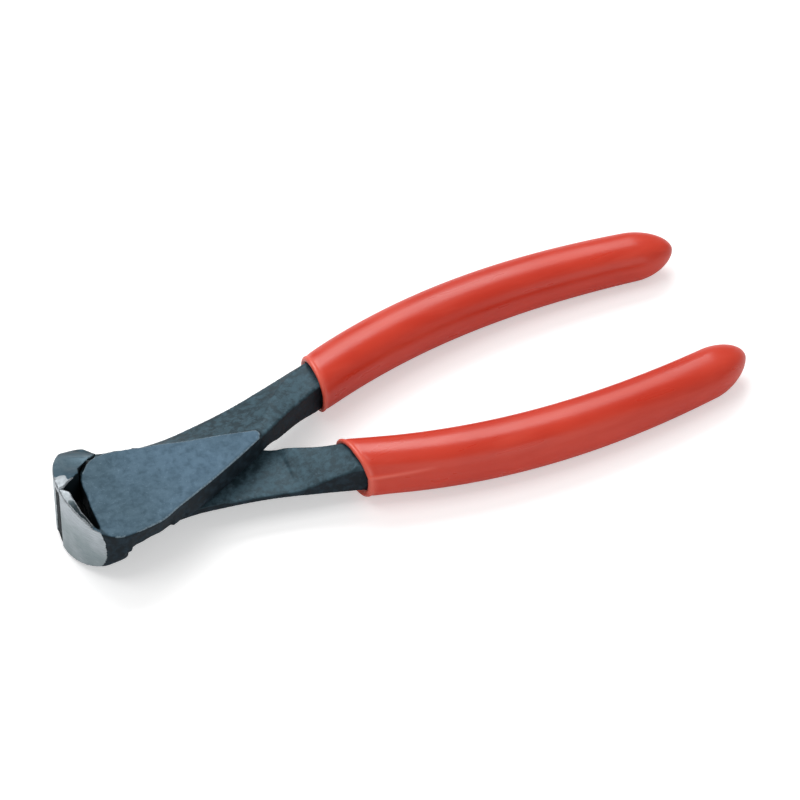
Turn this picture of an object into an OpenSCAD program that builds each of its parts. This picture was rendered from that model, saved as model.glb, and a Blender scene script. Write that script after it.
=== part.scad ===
// End cutting nippers: two forged levers crossed in a lap joint, with dipped grips.
// The origin lies on the pivot axis at the rear plate. +X runs to the handle ends,
// +Z runs along the pivot axis to the front plate, and +Y to the front lever's handle.

/* [Overall] */
// Length from the jaw tips to the handle ends
total_len = 180; // [150:1:210]
// Distance from the jaw tips to the pivot axis
reach = 24; // [22:0.5:26]
// Distance from the pivot axis to the mouths of the grips
shank_len = 49.5; // [46:0.5:56]

/* [Jaws] */
// Length of the cutting edges, along the pivot axis
edge_len = 22; // [18:0.5:26]
// Width across the closed jaws
head_w = 35.6; // [34:0.2:38]
// Radius of the ground crown of the jaws, seen from the front plate
crown_r = 22; // [20:0.5:25]
// Radius from the crown into the side of a jaw
corner_r = 8; // [6:0.5:9]
// Thickness of a jaw's wall between the crown and the throat
blade_t = 2.4; // [2:0.1:3]
// Daylight between the closed cutting edges
edge_gap = 0.1; // [0.05:0.01:0.2]
// Width of the land where the two jaws meet
edge_land = 1.6; // [1:0.1:2]
// Slope of the jaws' ends, from the edges down to the joint
end_slope = 7; // [3:0.5:10]

/* [Joint] */
// Thickness over both plates of the joint
joint_t = 14.5; // [13:0.5:17]
// Radius of the joint's end, round which the other jaw swings
lap_r = 17.2; // [16.4:0.1:17.6]
// Radius of the machined lap faces
face_r = 20.4; // [19:0.2:22]
// Gap between the two lap faces
lap_gap = 0.1; // [0.05:0.01:0.2]
// Height of a lap face over the forged shank round it
face_step = 0.4; // [0.2:0.1:0.8]
// Gap between a plate's end and the other jaw
seam_gap = 0.2; // [0.15:0.05:0.4]
// Height of the raised plate over the forged shank
plate_step = 0.6; // [0.3:0.1:1]
// Radius of the raised plate's tip
tip_r = 1.4; // [1:0.1:2]
// Draft of the forged wall under the near edge of the plate
wall_draft = 2; // [0.6:0.1:2.2]

/* [Rivet] */
// Diameter of the rivet's shank
rivet_d = 9; // [7:0.5:11]
// Diameter of the rivet's countersunk heads
rivet_head_d = 12; // [11.5:0.5:14]
// Depth of the countersunk heads
rivet_head_t = 1.6; // [1:0.1:2.5]
// Clearance round the rivet in the rear lever, on the radius
rivet_run = 0.05; // [0.02:0.01:0.09]

/* [Handles] */
// Distance between the handles' centre lines at the mouths of the grips
mouth_spread = 28.8; // [26:0.2:32]
// Distance between the handles' centre lines at their ends
end_spread = 41.6; // [36:0.2:50]
// Width of a tang at the mouth of its grip
tang_w = 10; // [8.5:0.1:11]
// Thickness of a tang at the mouth of its grip
tang_t = 9.4; // [8:0.1:10]
// Width of a tang at its end
tang_end_w = 6; // [4:0.1:7]
// Thickness of a tang at its end
tang_end_t = 6; // [4:0.1:7]
// Height of the thin outer edge of a shank over the lap face
edge_h = 2.1; // [1.6:0.1:3]
// Chamfer along the edges of a shank
shank_chamfer = 0.5; // [0.3:0.1:0.7]

/* [Grips] */
// Width of a grip at its thickest
grip_w = 14.6; // [14:0.1:17]
// Thickness of a grip at its thickest
grip_t = 14.2; // [13.6:0.1:16]
// Width of a grip near its end
grip_end_w = 12.3; // [11:0.1:14]
// Thickness of a grip near its end
grip_end_t = 11.9; // [11:0.1:14]
// Length of the lip that thins towards a grip's mouth
lip_len = 9; // [6:0.5:12]
// Length of the rounded end of a grip
nose_len = 11; // [9:0.5:13]
// Solid plastic between the end of a tang and the end of its grip
nose_fill = 7; // [5:0.5:12]
// Gap between a tang and its grip
grip_seat = 0.1; // [0.05:0.01:0.2]

/* [Hidden] */
$fn = 96;
// Sections of a lever over its shank and over its tang, and of a grip's parts
shank_steps = 39;
tang_steps = 20;
nose_steps = 6;
body_steps = 16;
lip_steps = 5;
bore_steps = 14;
// Sides of each edge of a section, and of a grip's ring
edge_steps = 4;
// Steps of the arcs in the plan of a jaw and of a plate
arc_steps = 24;
// Points round the end view of the jaws
end_steps = 60;

// Colours of the blackened steel, the rivet and the dipped grips
steel_color = [0.25, 0.31, 0.36];
rivet_color = [0.36, 0.42, 0.47];
grip_color = [0.82, 0.16, 0.12];

head_hw = head_w / 2;
jaw_hh = edge_len / 2;
joint_hh = joint_t / 2;
lap_z = lap_gap / 2;
handle_len = total_len - reach;
shank_z = joint_hh - plate_step;
mouth_y = mouth_spread / 2;
end_y = end_spread / 2;
rim_in = mouth_y - tang_w / 2;
rim_out = mouth_y + tang_w / 2;
tang_end_x = handle_len - nose_fill;
// How far a cut runs past the face that it opens
overrun = 1;
// Pitch of the points along a curved edge
pitch = shank_len / shank_steps;
// Depth of a lever's own sections inside the plate that covers them
wall_inset = 0.3;

// Slope of a handle's centre line at its mouth and at its end
mouth_slope_share = 0.375;
end_slope_share = -0.175;
// Powers that shape a grip's ring and the jaws' end view
ring_power = 0.87;
end_power = 1.11;
// Where the two inner edges cross, along the shank
crotch_share = 0.67;
// Where the flat top of the plate ends, along the shank
tip_share = 0.61;
// Height at which the plate's corner leaves the round end of the joint
seam_share = 0.2;
// Rear end of a jaw's lower part, and the radius that rounds it
back_share = 0.66;
back_r_share = 0.25;
// Where a lever's own sections begin, in front of the pivot
start_share = 0.34;
// Half width of the jaws' end view against that of the head
end_share = 1.012;
// Arcs that the raised plate's tip covers
tip_arc = [-55, 75];
// Part of a grip's full size at its thin lip
lip_share = 0.91;
// Blunt tip of a grip's nose, as the square of its part of the full size
nose_share = 0.01;
// Angle at which a grip's ring begins, level with the first corner of the tang
ring_turn = -112.5;
// Where the dome of the jaws' ends is highest, as part of the reach
peak_share = 0.12;

// Inner wall of a lever: place along the shank, then parts of the head's half width
// and of the tang's inner side
inner_shares = [
    [-0.36, 1, 0], [-0.16, 0.995, 0], [-0.05, 0.95, 0], [0.05, 0.82, 0], [0.30, 0.58, 0.12],
    [0.60, 0.30, 0.38], [0.86, 0.07, 0.76], [1, 0, 1]
];
// Outer edge of a lever, in the same terms, with the tang's outer side
outer_shares = [
    [-0.36, 0.76, 0], [-0.17, 0.75, 0], [0.02, 0.66, 0], [0.16, 0.64, 0.01], [0.30, 0.54, 0.14],
    [0.50, 0.34, 0.41], [0.70, 0.15, 0.70], [0.88, 0.03, 0.90], [1, 0, 1]
];
// Outer edge of the raised plate: place along the shank and part of the head's half width
plate_shares = [
    [-0.31, 0.32], [-0.285, 0.41], [-0.25, 0.485], [-0.215, 0.515], [-0.16, 0.522], [-0.05, 0.472],
    [0.03, 0.415], [0.11, 0.377], [0.24, 0.281], [0.41, 0.194], [0.53, 0.115]
];
// Part of the shank's width that stays at the height of its inner edge
flat_shares = [
    [-0.36, 0.74], [-0.16, 0.8], [0.03, 0.8], [0.24, 0.6], [0.5, 0.3], [0.66, 0.22], [1, 0.6]
];
// Fall of a lever's underside from the lap face to the tang, along the shank
under_shares = [[0, 0], [0.6, 0], [0.67, 0], [0.73, 0.29], [0.86, 0.58], [0.93, 0.76], [1, 1]];
// Front side of the throat: part of the head's half width, and of the jaw wall's thickness
wall_shares = [
    [0.02, 0.45], [0.1, 1], [0.22, 0.94], [0.45, 0.72], [0.62, 0.64], [0.72, 0.58], [1.1, 0.5]
];
// Rear side of the throat: parts of the head's half width and of the joint's end radius
throat_shares = [[-0.1, 1], [0.07, 1], [0.3, 1.03], [0.4, 1.035], [0.71, 1.047], [1.1, 1.05]];
// Far end of the hollow behind the edges, as parts of the joint's end radius
hollow_shares = [-0.96, -0.227];
// Draft of the near wall: place along the shank and part of the full draft
draft_shares = [[-0.18, 0.75], [-0.1, 0.98], [-0.02, 0.95], [0.06, 0.45], [0.13, 0.08]];
// Half length of each of its flats, along the shank
draft_step = 0.05;
// Floor of the throat: parts of the head's half width and of half the joint's thickness
floor_shares = [[-0.1, 0], [0.45, 0], [0.95, 1]];

// Slope at point i of a curve through pts
function slope(pts, i) =
    let(a = pts[max(i - 1, 0)], b = pts[min(i + 1, len(pts) - 1)])
    (b[1] - a[1]) / (b[0] - a[0]);

// Number of the stretch of pts that holds x
function stretch(pts, x, i = 0) =
    (i >= len(pts) - 2 || x < pts[i + 1][0]) ? i : stretch(pts, x, i + 1);

// Smooth curve through pts, whose first numbers rise
function curve(pts, x) =
    let(i = stretch(pts, x), a = pts[i], b = pts[i + 1], w = b[0] - a[0])
    let(t = max(0, min(1, (x - a[0]) / w)))
    let(p = t * (1 - t) * (1 - t), q = -t * t * (1 - t))
    a[1] + (b[1] - a[1]) * ease(t) + w * (slope(pts, i) * p + slope(pts, i + 1) * q);

// Even ramp from 0 at a to 1 at b, and the same ramp with soft ends
function ramp(x, a, b) = max(0, min(1, (x - a) / (b - a)));
function ease(t) = t * t * (3 - 2 * t);

// Points of an arc round c
function arc(c, r, a0, a1, n) =
    [for (i = [0:n]) let(a = a0 + (a1 - a0) * i / n) [c[0] + r * cos(a), c[1] + r * sin(a)]];

inner_pts = [for (s = inner_shares) [s[0] * shank_len, -s[1] * head_hw + s[2] * rim_in]];
outer_pts = [for (s = outer_shares) [s[0] * shank_len, s[1] * head_hw + s[2] * rim_out]];
plate_pts = [for (s = plate_shares) [s[0] * shank_len, s[1] * head_hw]];
flat_pts = [for (s = flat_shares) [s[0] * shank_len, s[1]]];
draft_pts = [for (s = draft_shares) [s[0] * shank_len, s[1] * wall_draft]];

// Centre line of the front lever's handle, from the mouth of the grip to its end
function handle_y(x) =
    let(l = handle_len - shank_len, t = (x - shank_len) / l)
    let(p = t * (1 - t) * (1 - t), q = -t * t * (1 - t))
    mouth_y + (end_y - mouth_y) * ease(t) + l * (mouth_slope_share * p + end_slope_share * q);

// Width and thickness of the tang inside the grip
function tang_hw(x) = (tang_w + (tang_end_w - tang_w) * ramp(x, shank_len, tang_end_x)) / 2;
function tang_hh(x) = (tang_t + (tang_end_t - tang_t) * ramp(x, shank_len, tang_end_x)) / 2;

// Inner and outer side of the front lever at x
function inner_y(x) = x < shank_len ? curve(inner_pts, x) : handle_y(x) - tang_hw(x);
function outer_y(x) = x < shank_len ? curve(outer_pts, x) : handle_y(x) + tang_hw(x);

// Heights of the shank: its inner top edge, outer top edge and underside
function top_z(x) =
    shank_z + (tang_hh(x) - shank_z) * ease(ramp(x, tip_share * shank_len, shank_len));
function outer_top_z(x) =
    let(side = tang_hh(x) - 2 * shank_chamfer)
    edge_h + (side - edge_h) * ease(ramp(x, tip_share * shank_len, shank_len));
function under_z(x) =
    let(face_z = lap_z + face_step * ramp(x, face_r, face_r + pitch))
    face_z - (face_z + tang_hh(x)) * curve(under_shares, x / shank_len);
function outer_under_z(x) =
    let(face_z = lap_z + face_step * ramp(x, face_r, face_r + pitch))
    let(side = tang_hh(x) - 2 * shank_chamfer)
    face_z - (face_z + side) * ease(ramp(x, crotch_share * shank_len, shank_len));

// Cross-section of a lever at x, grown by g on every side
function section(x, g) =
    let(hidden = x < tip_share * shank_len - 2 * pitch ? wall_inset : 0)
    let(yi = inner_y(x) - g + hidden, yo = outer_y(x) + g, c = shank_chamfer)
    let(zt = top_z(x) + g, zb = under_z(x) - g, zo = outer_top_z(x) + g, zu = outer_under_z(x) - g)
    let(in_grip = ramp(x, crotch_share * shank_len, shank_len))
    let(yf = yi + (yo - yi) * curve(flat_pts, min(x, shank_len)))
    let(top_y = yf + (yo - 2 * c - yf) * in_grip, low_y = yo - c - c * in_grip)
    [
        [x, yi + c, zb], [x, yi, zb + c], [x, yi, zt - c], [x, yi + c, zt],
        [x, top_y, zt], [x, yo, zo], [x, yo, zu], [x, low_y, zb + (zu - zb) * (1 - in_grip)]
    ];

// A section with each of its sides divided evenly
function fine_section(x, g) =
    let(s = section(x, g), m = len(s), n = edge_steps)
    [for (i = [0:m - 1]) for (j = [0:n - 1]) s[i] + (s[(i + 1) % m] - s[i]) * j / n];

// Mean of the points of a ring
function middle(ring) = [for (i = [0:len(ring) - 1]) 1] * ring / len(ring);

// Triangles that join rings of n points each, and close the ends round the last two points
function skin(count, n) = [
    for (i = [0:n - 1]) [count * n, (i + 1) % n, i],
    for (k = [0:count - 2]) for (i = [0:n - 1])
        let(a = k * n + i, b = k * n + (i + 1) % n) each [[a, b, b + n], [a, b + n, a + n]],
    for (i = [0:n - 1]) let(o = (count - 1) * n) [count * n + 1, o + i, o + (i + 1) % n]
];

module loft(rings) {
    count = len(rings);
    ends = [middle(rings[0]), middle(rings[count - 1])];
    polyhedron(concat([for (r = rings) each r], ends), skin(count, len(rings[0])));
}

// Crown and side of a jaw: half of the closed jaws seen from the front plate
crown_x = crown_r - reach;
corner_y = head_hw - corner_r;
corner_x = crown_x - sqrt(pow(crown_r - corner_r, 2) - corner_y * corner_y);
corner_a = atan2(corner_y, crown_x - corner_x);
crown_pts = concat(
    arc([crown_x, 0], crown_r, 180 + asin(edge_gap / 2 / crown_r), 180 + corner_a, arc_steps),
    arc([corner_x, -corner_y], corner_r, 180 + corner_a, 270, arc_steps / 2)
);

// Front of the crown at a distance y from the middle
function crown_at(y) =
    y < corner_y + corner_r * sin(corner_a)
        ? crown_x - sqrt(crown_r * crown_r - y * y)
        : corner_x - sqrt(max(0, corner_r * corner_r - pow(y - corner_y, 2)));

// Outlines of what lies behind a jaw's wall, and in front of the joint's end
wall_y = wall_shares[len(wall_shares) - 1][0] * head_hw;
behind_wall_pts = concat(
    [for (s = wall_shares) [crown_at(s[0] * head_hw) + s[1] * blade_t, -s[0] * head_hw]],
    [[0, -wall_y], [0, overrun], [-reach + edge_land, overrun]]
);
throat_y = throat_shares[len(throat_shares) - 1][0] * head_hw;
before_joint_pts = concat(
    [for (s = throat_shares) [-s[1] * lap_r, -s[0] * head_hw]],
    [[-2 * reach, -throat_y], [-2 * reach, -throat_shares[0][0] * head_hw]]
);

// Outline of the front plate with its jaw, above the lap face
module plate_outline() {
    tip_x = tip_share * shank_len;
    far_x = plate_pts[len(plate_pts) - 1][0];
    far_step = (plate_pts[0][0] - far_x) / arc_steps;
    near = [for (x = [corner_x + pitch:pitch:tip_x]) [x, curve(inner_pts, x)]];
    far = [for (i = [0:arc_steps]) let(x = far_x + i * far_step) [x, curve(plate_pts, x)]];
    tip = [tip_x - tip_r, curve(inner_pts, tip_x) + tip_r];
    polygon(concat(
        crown_pts, near, arc(tip, tip_r, tip_arc[0], tip_arc[1], arc_steps / 3), far,
        arc([0, 0], lap_r, 180 - asin(seam_share), 180, arc_steps / 3),
        [[-lap_r, -edge_gap / 2]]
    ));
}

// The throat in front of the joint, open to the front plate, with a rising floor
module throat() {
    intersection() {
        linear_extrude(edge_len, center = true)
            intersection() {
                polygon(behind_wall_pts);
                polygon(before_joint_pts);
            }
        rotate([90, 0, -90])
            linear_extrude(2 * reach)
                polygon(concat(
                    [for (s = floor_shares) [s[0] * head_hw, lap_z + s[1] * (joint_hh - lap_z)]],
                    [[2 * head_hw, edge_len], [floor_shares[0][0] * head_hw, edge_len]]
                ));
    }
}

// The hollow behind the cutting edge, open to the far side
module hollow() {
    translate([0, 0, -jaw_hh - overrun])
        linear_extrude(jaw_hh + overrun + lap_z)
            polygon([
                [-reach + edge_land, overrun], [-reach + edge_land, -edge_gap / 2],
                [hollow_shares[0] * lap_r, hollow_shares[1] * lap_r], [0, 0], [0, overrun]
            ]);
}

// Step down from the jaw's wall to the plate
module plate_top() {
    translate([0, 0, joint_hh]) linear_extrude(jaw_hh) polygon(behind_wall_pts);
}

// Shallow relief round the machined lap face
module relief() {
    translate([0, 0, -joint_hh])
        linear_extrude(joint_hh + lap_z + face_step)
            difference() {
                translate([0, -head_w]) square([crotch_share * shank_len, 2 * head_w]);
                circle(face_r);
            }
}

// Draft of the near wall: flats that lean in from under the plate down to the lap face
module draft_cut() {
    for (p = draft_pts) {
        rise = curve(inner_pts, p[0] + pitch) - curve(inner_pts, p[0] - pitch);
        translate([p[0], curve(inner_pts, p[0]), shank_z])
            rotate([atan(p[1] / shank_z), 0, atan(rise / pitch / 2)])
                translate([-draft_step * shank_len, -head_hw, -shank_z - overrun])
                    cube([2 * draft_step * shank_len, head_hw, shank_z + overrun]);
    }
}

// Both jaws' common outside, an oval across the tool that falls towards the joint
module jaw_ends() {
    hw = end_share * head_hw;
    oval = [
        for (i = [0:end_steps - 1])
            let(a = 360 * i / end_steps, c = cos(a), s = sin(a))
            [hw * sign(c) * pow(abs(c), end_power), jaw_hh * sign(s) * pow(abs(s), end_power)]
    ];
    intersection_for (side = [-1, 1])
        translate([-reach * (1 - peak_share), 0, 0])
            rotate([0, side * end_slope, 0])
                rotate([90, 0, 90])
                    linear_extrude(2 * reach, center = true) polygon(oval);
}

// The front lever's jaw, from end to end of its edge, clear of the other plate's round end
module jaw() {
    back_r = back_r_share * head_hw;
    back_x = -back_share * reach;
    intersection() {
        jaw_ends();
        translate([0, 0, -jaw_hh])
            linear_extrude(edge_len)
                difference() {
                    intersection() {
                        polygon(concat(crown_pts, [[0, -head_hw], [0, -edge_gap / 2]]));
                        union() {
                            translate([-2 * reach, -head_w]) square([2 * reach + back_x, 2 * head_w]);
                            translate([-2 * reach, back_r - head_hw]) square([2 * reach, head_w]);
                            translate([back_x, back_r - head_hw]) circle(back_r);
                        }
                    }
                    circle(lap_r + seam_gap);
                }
    }
}

// One forged lever, drawn as the front one, with its lap face at height zero
module lever(hole_r, head_r) {
    stations = concat(
        [for (i = [0:shank_steps]) shank_len * (1 - (1 + start_share) * (1 - i / shank_steps))],
        [for (i = [1:tang_steps]) shank_len + (tang_end_x - shank_len) * i / tang_steps]
    );
    difference() {
        union() {
            intersection() {
                loft([for (x = stations) section(x, 0)]);
                union() {
                    cylinder(h = 2 * joint_t, r = lap_r, center = true);
                    translate([0, -head_w, -joint_t]) cube([total_len, 2 * head_w, 2 * joint_t]);
                }
            }
            translate([0, 0, lap_z]) linear_extrude(joint_hh - lap_z) plate_outline();
            jaw();
        }
        throat();
        hollow();
        plate_top();
        relief();
        draft_cut();
        translate([0, 0, -jaw_hh]) cylinder(h = edge_len, r = hole_r);
        translate([0, 0, joint_hh - rivet_head_t])
            cylinder(h = rivet_head_t, r1 = hole_r, r2 = head_r);
    }
}

module front_lever() {
    color(steel_color) translate([0, 0, joint_hh]) lever(rivet_d / 2, rivet_head_d / 2);
}

module rear_lever() {
    color(steel_color)
        translate([0, 0, joint_hh])
            rotate([180, 0, 0])
                lever(rivet_d / 2 + rivet_run, rivet_head_d / 2 + rivet_run);
}

// Rivet with two countersunk heads, ground flush with both plates
module pivot_rivet() {
    color(rivet_color)
        rotate_extrude()
            polygon([
                [0, 0], [rivet_head_d / 2, 0], [rivet_d / 2, rivet_head_t],
                [rivet_d / 2, joint_t - rivet_head_t], [rivet_head_d / 2, joint_t], [0, joint_t]
            ]);
}

// Outer ring of a grip at x
function grip_ring(x, n) =
    let(t = ramp(x, shank_len, handle_len), rise = sin(90 * ramp(x, shank_len, shank_len + lip_len)))
    let(u = ramp(x, handle_len - nose_len, handle_len), nose = sqrt(max(nose_share, 1 - u * u)))
    let(size = (lip_share + (1 - lip_share) * rise) * nose)
    let(w = (grip_w + (grip_end_w - grip_w) * t * t) / 2 * size)
    let(h = (grip_t + (grip_end_t - grip_t) * t * t) / 2 * size)
    [for (k = [0:n - 1]) let(a = ring_turn - 360 * k / n, c = cos(a), s = sin(a))
        [x, handle_y(x) + w * sign(c) * pow(abs(c), ring_power), h * sign(s) * pow(abs(s), ring_power)]];

// A dipped sleeve round the tang, closed at the handle's end
module grip() {
    body_x = shank_len + lip_len;
    nose_x = handle_len - nose_len;
    outer_x = concat(
        [for (i = [0:nose_steps]) handle_len - nose_len * (1 - cos(90 * i / nose_steps))],
        [for (i = [1:body_steps]) nose_x + (body_x - nose_x) * i / body_steps],
        [for (i = [1:lip_steps]) shank_len + lip_len * (1 - i / lip_steps)]
    );
    bore_len = tang_end_x + grip_seat - shank_len;
    bore_rings = [for (i = [0:bore_steps]) fine_section(shank_len + bore_len * i / bore_steps, grip_seat)];
    loft(concat([for (x = outer_x) grip_ring(x, len(bore_rings[0]))], bore_rings));
}

module front_grip() {
    color(grip_color) translate([0, 0, joint_hh]) grip();
}

module rear_grip() {
    color(grip_color) translate([0, 0, joint_hh]) rotate([180, 0, 0]) grip();
}

front_lever();
rear_lever();
pivot_rivet();
front_grip();
rear_grip();
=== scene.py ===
"""End cutting nippers: the looks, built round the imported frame. Lengths are metres, in the row frame."""
import math

import bmesh
import bpy
import numpy as np
from mathutils import Matrix, Vector, noise


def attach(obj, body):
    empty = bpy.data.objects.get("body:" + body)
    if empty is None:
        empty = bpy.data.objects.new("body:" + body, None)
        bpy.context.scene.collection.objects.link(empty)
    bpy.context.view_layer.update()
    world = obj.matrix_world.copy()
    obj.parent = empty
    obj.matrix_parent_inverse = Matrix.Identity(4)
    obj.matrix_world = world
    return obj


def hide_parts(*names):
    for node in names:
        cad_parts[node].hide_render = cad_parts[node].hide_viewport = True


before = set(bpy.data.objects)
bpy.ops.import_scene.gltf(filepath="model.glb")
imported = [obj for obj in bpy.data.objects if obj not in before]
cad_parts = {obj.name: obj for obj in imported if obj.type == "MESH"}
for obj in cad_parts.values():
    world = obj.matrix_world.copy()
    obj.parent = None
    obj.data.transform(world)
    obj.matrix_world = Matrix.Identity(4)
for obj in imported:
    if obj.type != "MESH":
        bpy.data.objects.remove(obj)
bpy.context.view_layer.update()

MM = 0.001
HALF = 7.25 * MM            # half the thickness of the joint
REACH = 24 * MM             # jaw tips to the pivot axis
SHANK_LEN = 49.5 * MM       # pivot axis to the mouths of the grips
HANDLE_LEN = 156 * MM       # pivot axis to the handles' ends
MOUTH_Y, END_Y = 14.4 * MM, 20.8 * MM   # the handle's middle line at its mouth and at its end
MOUTH_SLOPE, END_SLOPE = 0.375, -0.175
CROWN_R, CORNER_R, HEAD_HW = 22 * MM, 8 * MM, 17.8 * MM     # the outline of the closed jaws
LAP_R = 17.2 * MM           # the round lap face of the joint
HEAD_R = 6 * MM             # the rivet's flush heads
HEAD_SPREAD = 0.9375        # how fast the head's cone widens towards the face
WELD = 0.002 * MM           # vertices nearer than this are one


# Helpers
def ramp(x, a, b):
    """0 at a, 1 at b and straight between, for numbers and arrays."""
    return np.clip((x - a) / (b - a), 0.0, 1.0)


def ease(x, a, b):
    """The same with soft ends."""
    t = ramp(x, a, b)
    return t * t * (3 - 2 * t)


def new_object(name, mesh):
    obj = bpy.data.objects.new(name, mesh)
    bpy.context.scene.collection.objects.link(obj)
    return obj


def node_mesh(node, name):
    """A welded copy of a CAD node's mesh, as a new object in the row frame."""
    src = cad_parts[node]
    mesh = src.data.copy()
    mesh.name = name
    mesh.transform(src.matrix_world)
    mesh.materials.clear()
    bm = bmesh.new()
    bm.from_mesh(mesh)
    bmesh.ops.remove_doubles(bm, verts=bm.verts, dist=WELD)
    bm.normal_update()
    bm.to_mesh(mesh)
    bm.free()
    return new_object(name, mesh)


def bake_modifiers(obj):
    """Replaces the object's mesh by what its modifiers make of it."""
    dep = bpy.context.evaluated_depsgraph_get()
    mesh = bpy.data.meshes.new_from_object(obj.evaluated_get(dep))
    old = obj.data
    obj.modifiers.clear()
    obj.data = mesh
    bpy.data.meshes.remove(old)
    mesh.name = obj.name


def shade_smooth(mesh):
    mesh.polygons.foreach_set("use_smooth", [True] * len(mesh.polygons))


def dress(obj, node, body, material):
    """Gives a finished piece its material and its place in the frame."""
    obj.data.materials.clear()
    obj.data.materials.append(material)
    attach(obj, body)
    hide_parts(node)


# Materials
class Nodes:
    """Small helper for building a node tree."""

    def __init__(self, name):
        self.mat = bpy.data.materials.new(name)
        self.mat.use_nodes = True
        self.tree = self.mat.node_tree
        self.tree.nodes.clear()
        self.out = self.add("ShaderNodeOutputMaterial")

    def add(self, kind, **values):
        node = self.tree.nodes.new(kind)
        for key, value in values.items():
            setattr(node, key, value)
        return node

    def link(self, a, b):
        self.tree.links.new(a, b)

    def noise(self, vector, scale, detail=3.0, rough=0.5, distort=0.0):
        n = self.add("ShaderNodeTexNoise")
        n.inputs["Scale"].default_value = scale
        n.inputs["Detail"].default_value = detail
        n.inputs["Roughness"].default_value = rough
        n.inputs["Distortion"].default_value = distort
        self.link(vector, n.inputs["Vector"])
        return n.outputs["Fac"]

    def stretched(self, vector, scale):
        n = self.add("ShaderNodeMapping")
        n.inputs["Scale"].default_value = scale
        self.link(vector, n.inputs["Vector"])
        return n.outputs["Vector"]

    def axis(self, vector, name):
        n = self.add("ShaderNodeSeparateXYZ")
        self.link(vector, n.inputs[0])
        return n.outputs[name]

    def attribute(self, name):
        return self.add("ShaderNodeAttribute", attribute_name=name).outputs["Fac"]

    def remap(self, value, a, b, lo, hi, smooth=True):
        n = self.add("ShaderNodeMapRange")
        n.interpolation_type = "SMOOTHSTEP" if smooth else "LINEAR"
        for key, v in zip(("From Min", "From Max", "To Min", "To Max"), (a, b, lo, hi)):
            n.inputs[key].default_value = v
        self.link(value, n.inputs["Value"])
        return n.outputs["Result"]

    def math(self, op, a, b):
        n = self.add("ShaderNodeMath", operation=op)
        for i, v in enumerate((a, b)):
            if isinstance(v, (int, float)):
                n.inputs[i].default_value = v
            else:
                self.link(v, n.inputs[i])
        return n.outputs[0]

    def mix(self, fac, a, b):
        n = self.add("ShaderNodeMix", data_type="RGBA")
        self.link(fac, n.inputs["Factor"])
        for key, v in (("A", a), ("B", b)):
            sock = [s for s in n.inputs if s.name == key and s.type == "RGBA"][0]
            if isinstance(v, tuple):
                sock.default_value = (*v, 1)
            else:
                self.link(v, sock)
        return [s for s in n.outputs if s.type == "RGBA"][0]

    def blend(self, fac, a, b):
        """The mix of two plain numbers."""
        n = self.add("ShaderNodeMix", data_type="FLOAT")
        for i, v in ((0, fac), (2, a), (3, b)):
            self.link(v, n.inputs[i])
        return n.outputs[0]

    def bump(self, shader, height, strength, distance):
        n = self.add("ShaderNodeBump")
        n.inputs["Strength"].default_value = strength
        n.inputs["Distance"].default_value = distance
        self.link(height, n.inputs["Height"])
        self.link(n.outputs["Normal"], shader.inputs["Normal"])

    def finish(self, shader):
        self.link(shader.outputs[0], self.out.inputs["Surface"])
        return self.mat


def srgb(r, g, b):
    """Linear colour from 0-255 display values."""
    return tuple(((c / 255 + 0.055) / 1.055) ** 2.4 if c > 10 else c / 255 / 12.92 for c in (r, g, b))


BLUED = (srgb(52, 75, 88), srgb(67, 92, 110))
BLUED_DARK, BLUED_SPECK = srgb(42, 60, 70), srgb(96, 118, 132)
ROUGH = (srgb(38, 56, 64), srgb(64, 88, 99))
# painted shade: the steep walls' colour, darker than the flats
SHADED_SIDE = (srgb(20, 30, 37), srgb(38, 53, 63))
# painted shade in the throat, the seam, the parting bevel and the creases; also the darker patch by the tips
SHADE_AND_PATCH = srgb(20, 28, 32)
RIM_PALE = srgb(132, 152, 164)
# painted light on the far jaw's back
LIT_PALE = srgb(98, 121, 132)
GROUND = (srgb(152, 165, 169), srgb(176, 185, 190))
# painted highlight on the upper part of the ground crown
GROUND_HIGHLIGHT = srgb(212, 218, 224)
GROUND_LINE = srgb(134, 146, 151)
GROUND_TIP = srgb(128, 134, 138)
SCUFF = srgb(92, 102, 104)
VINYL = (srgb(198, 48, 25), srgb(207, 57, 34))
# the second colour is the painted highlight on the mouth's lip and along the fold's ridge, and makes the nose's end
# paler
VINYL_STREAK, VINYL_HIGHLIGHT_PALE = srgb(216, 74, 54), srgb(236, 110, 92)
# noises: scale to the metre, detail, roughness and distortion
CLOUD, MOTTLE, GRAIN, FLAKE = (60, 3, 0.5), (520, 4, 0.65, 0.3), (1900, 2, 0.6), (850, 3, 0.6, 0.4)
LINES, BLOTCH, RAGGED = (420, 3, 0.6), (160, 3, 0.5), (700, 3, 0.6)
STREAK, VINYL_CLOUD, VINYL_FINE = (300, 3, 0.5), (45, 3, 0.5), (2200, 2, 0.5)
LINE_STRETCH, STREAK_STRETCH = (1, 1, 14), (0.14, 1, 1)
PLATE_FROM, PLATE_TO = -0.016, 0.012    # the plate grows paler along x
CROWN_FROM, CROWN_TO = 0.004, 0.018     # painted highlight: the ground crown grows brighter along z, towards its top
STEEL_METAL, GROUND_METAL = 0.3, 0.85
STEEL_GLOSS, GROUND_GLOSS, DEEP_GLOSS = 0.22, 0.5, 0.2
STEEL_ROUGH, GROUND_ROUGH, VINYL_ROUGH = (0.42, 0.58), (0.40, 0.52), (0.27, 0.37)
STEEL_BUMP, VINYL_BUMP = (0.3, 0.00012), (0.09, 0.0001)


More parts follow.
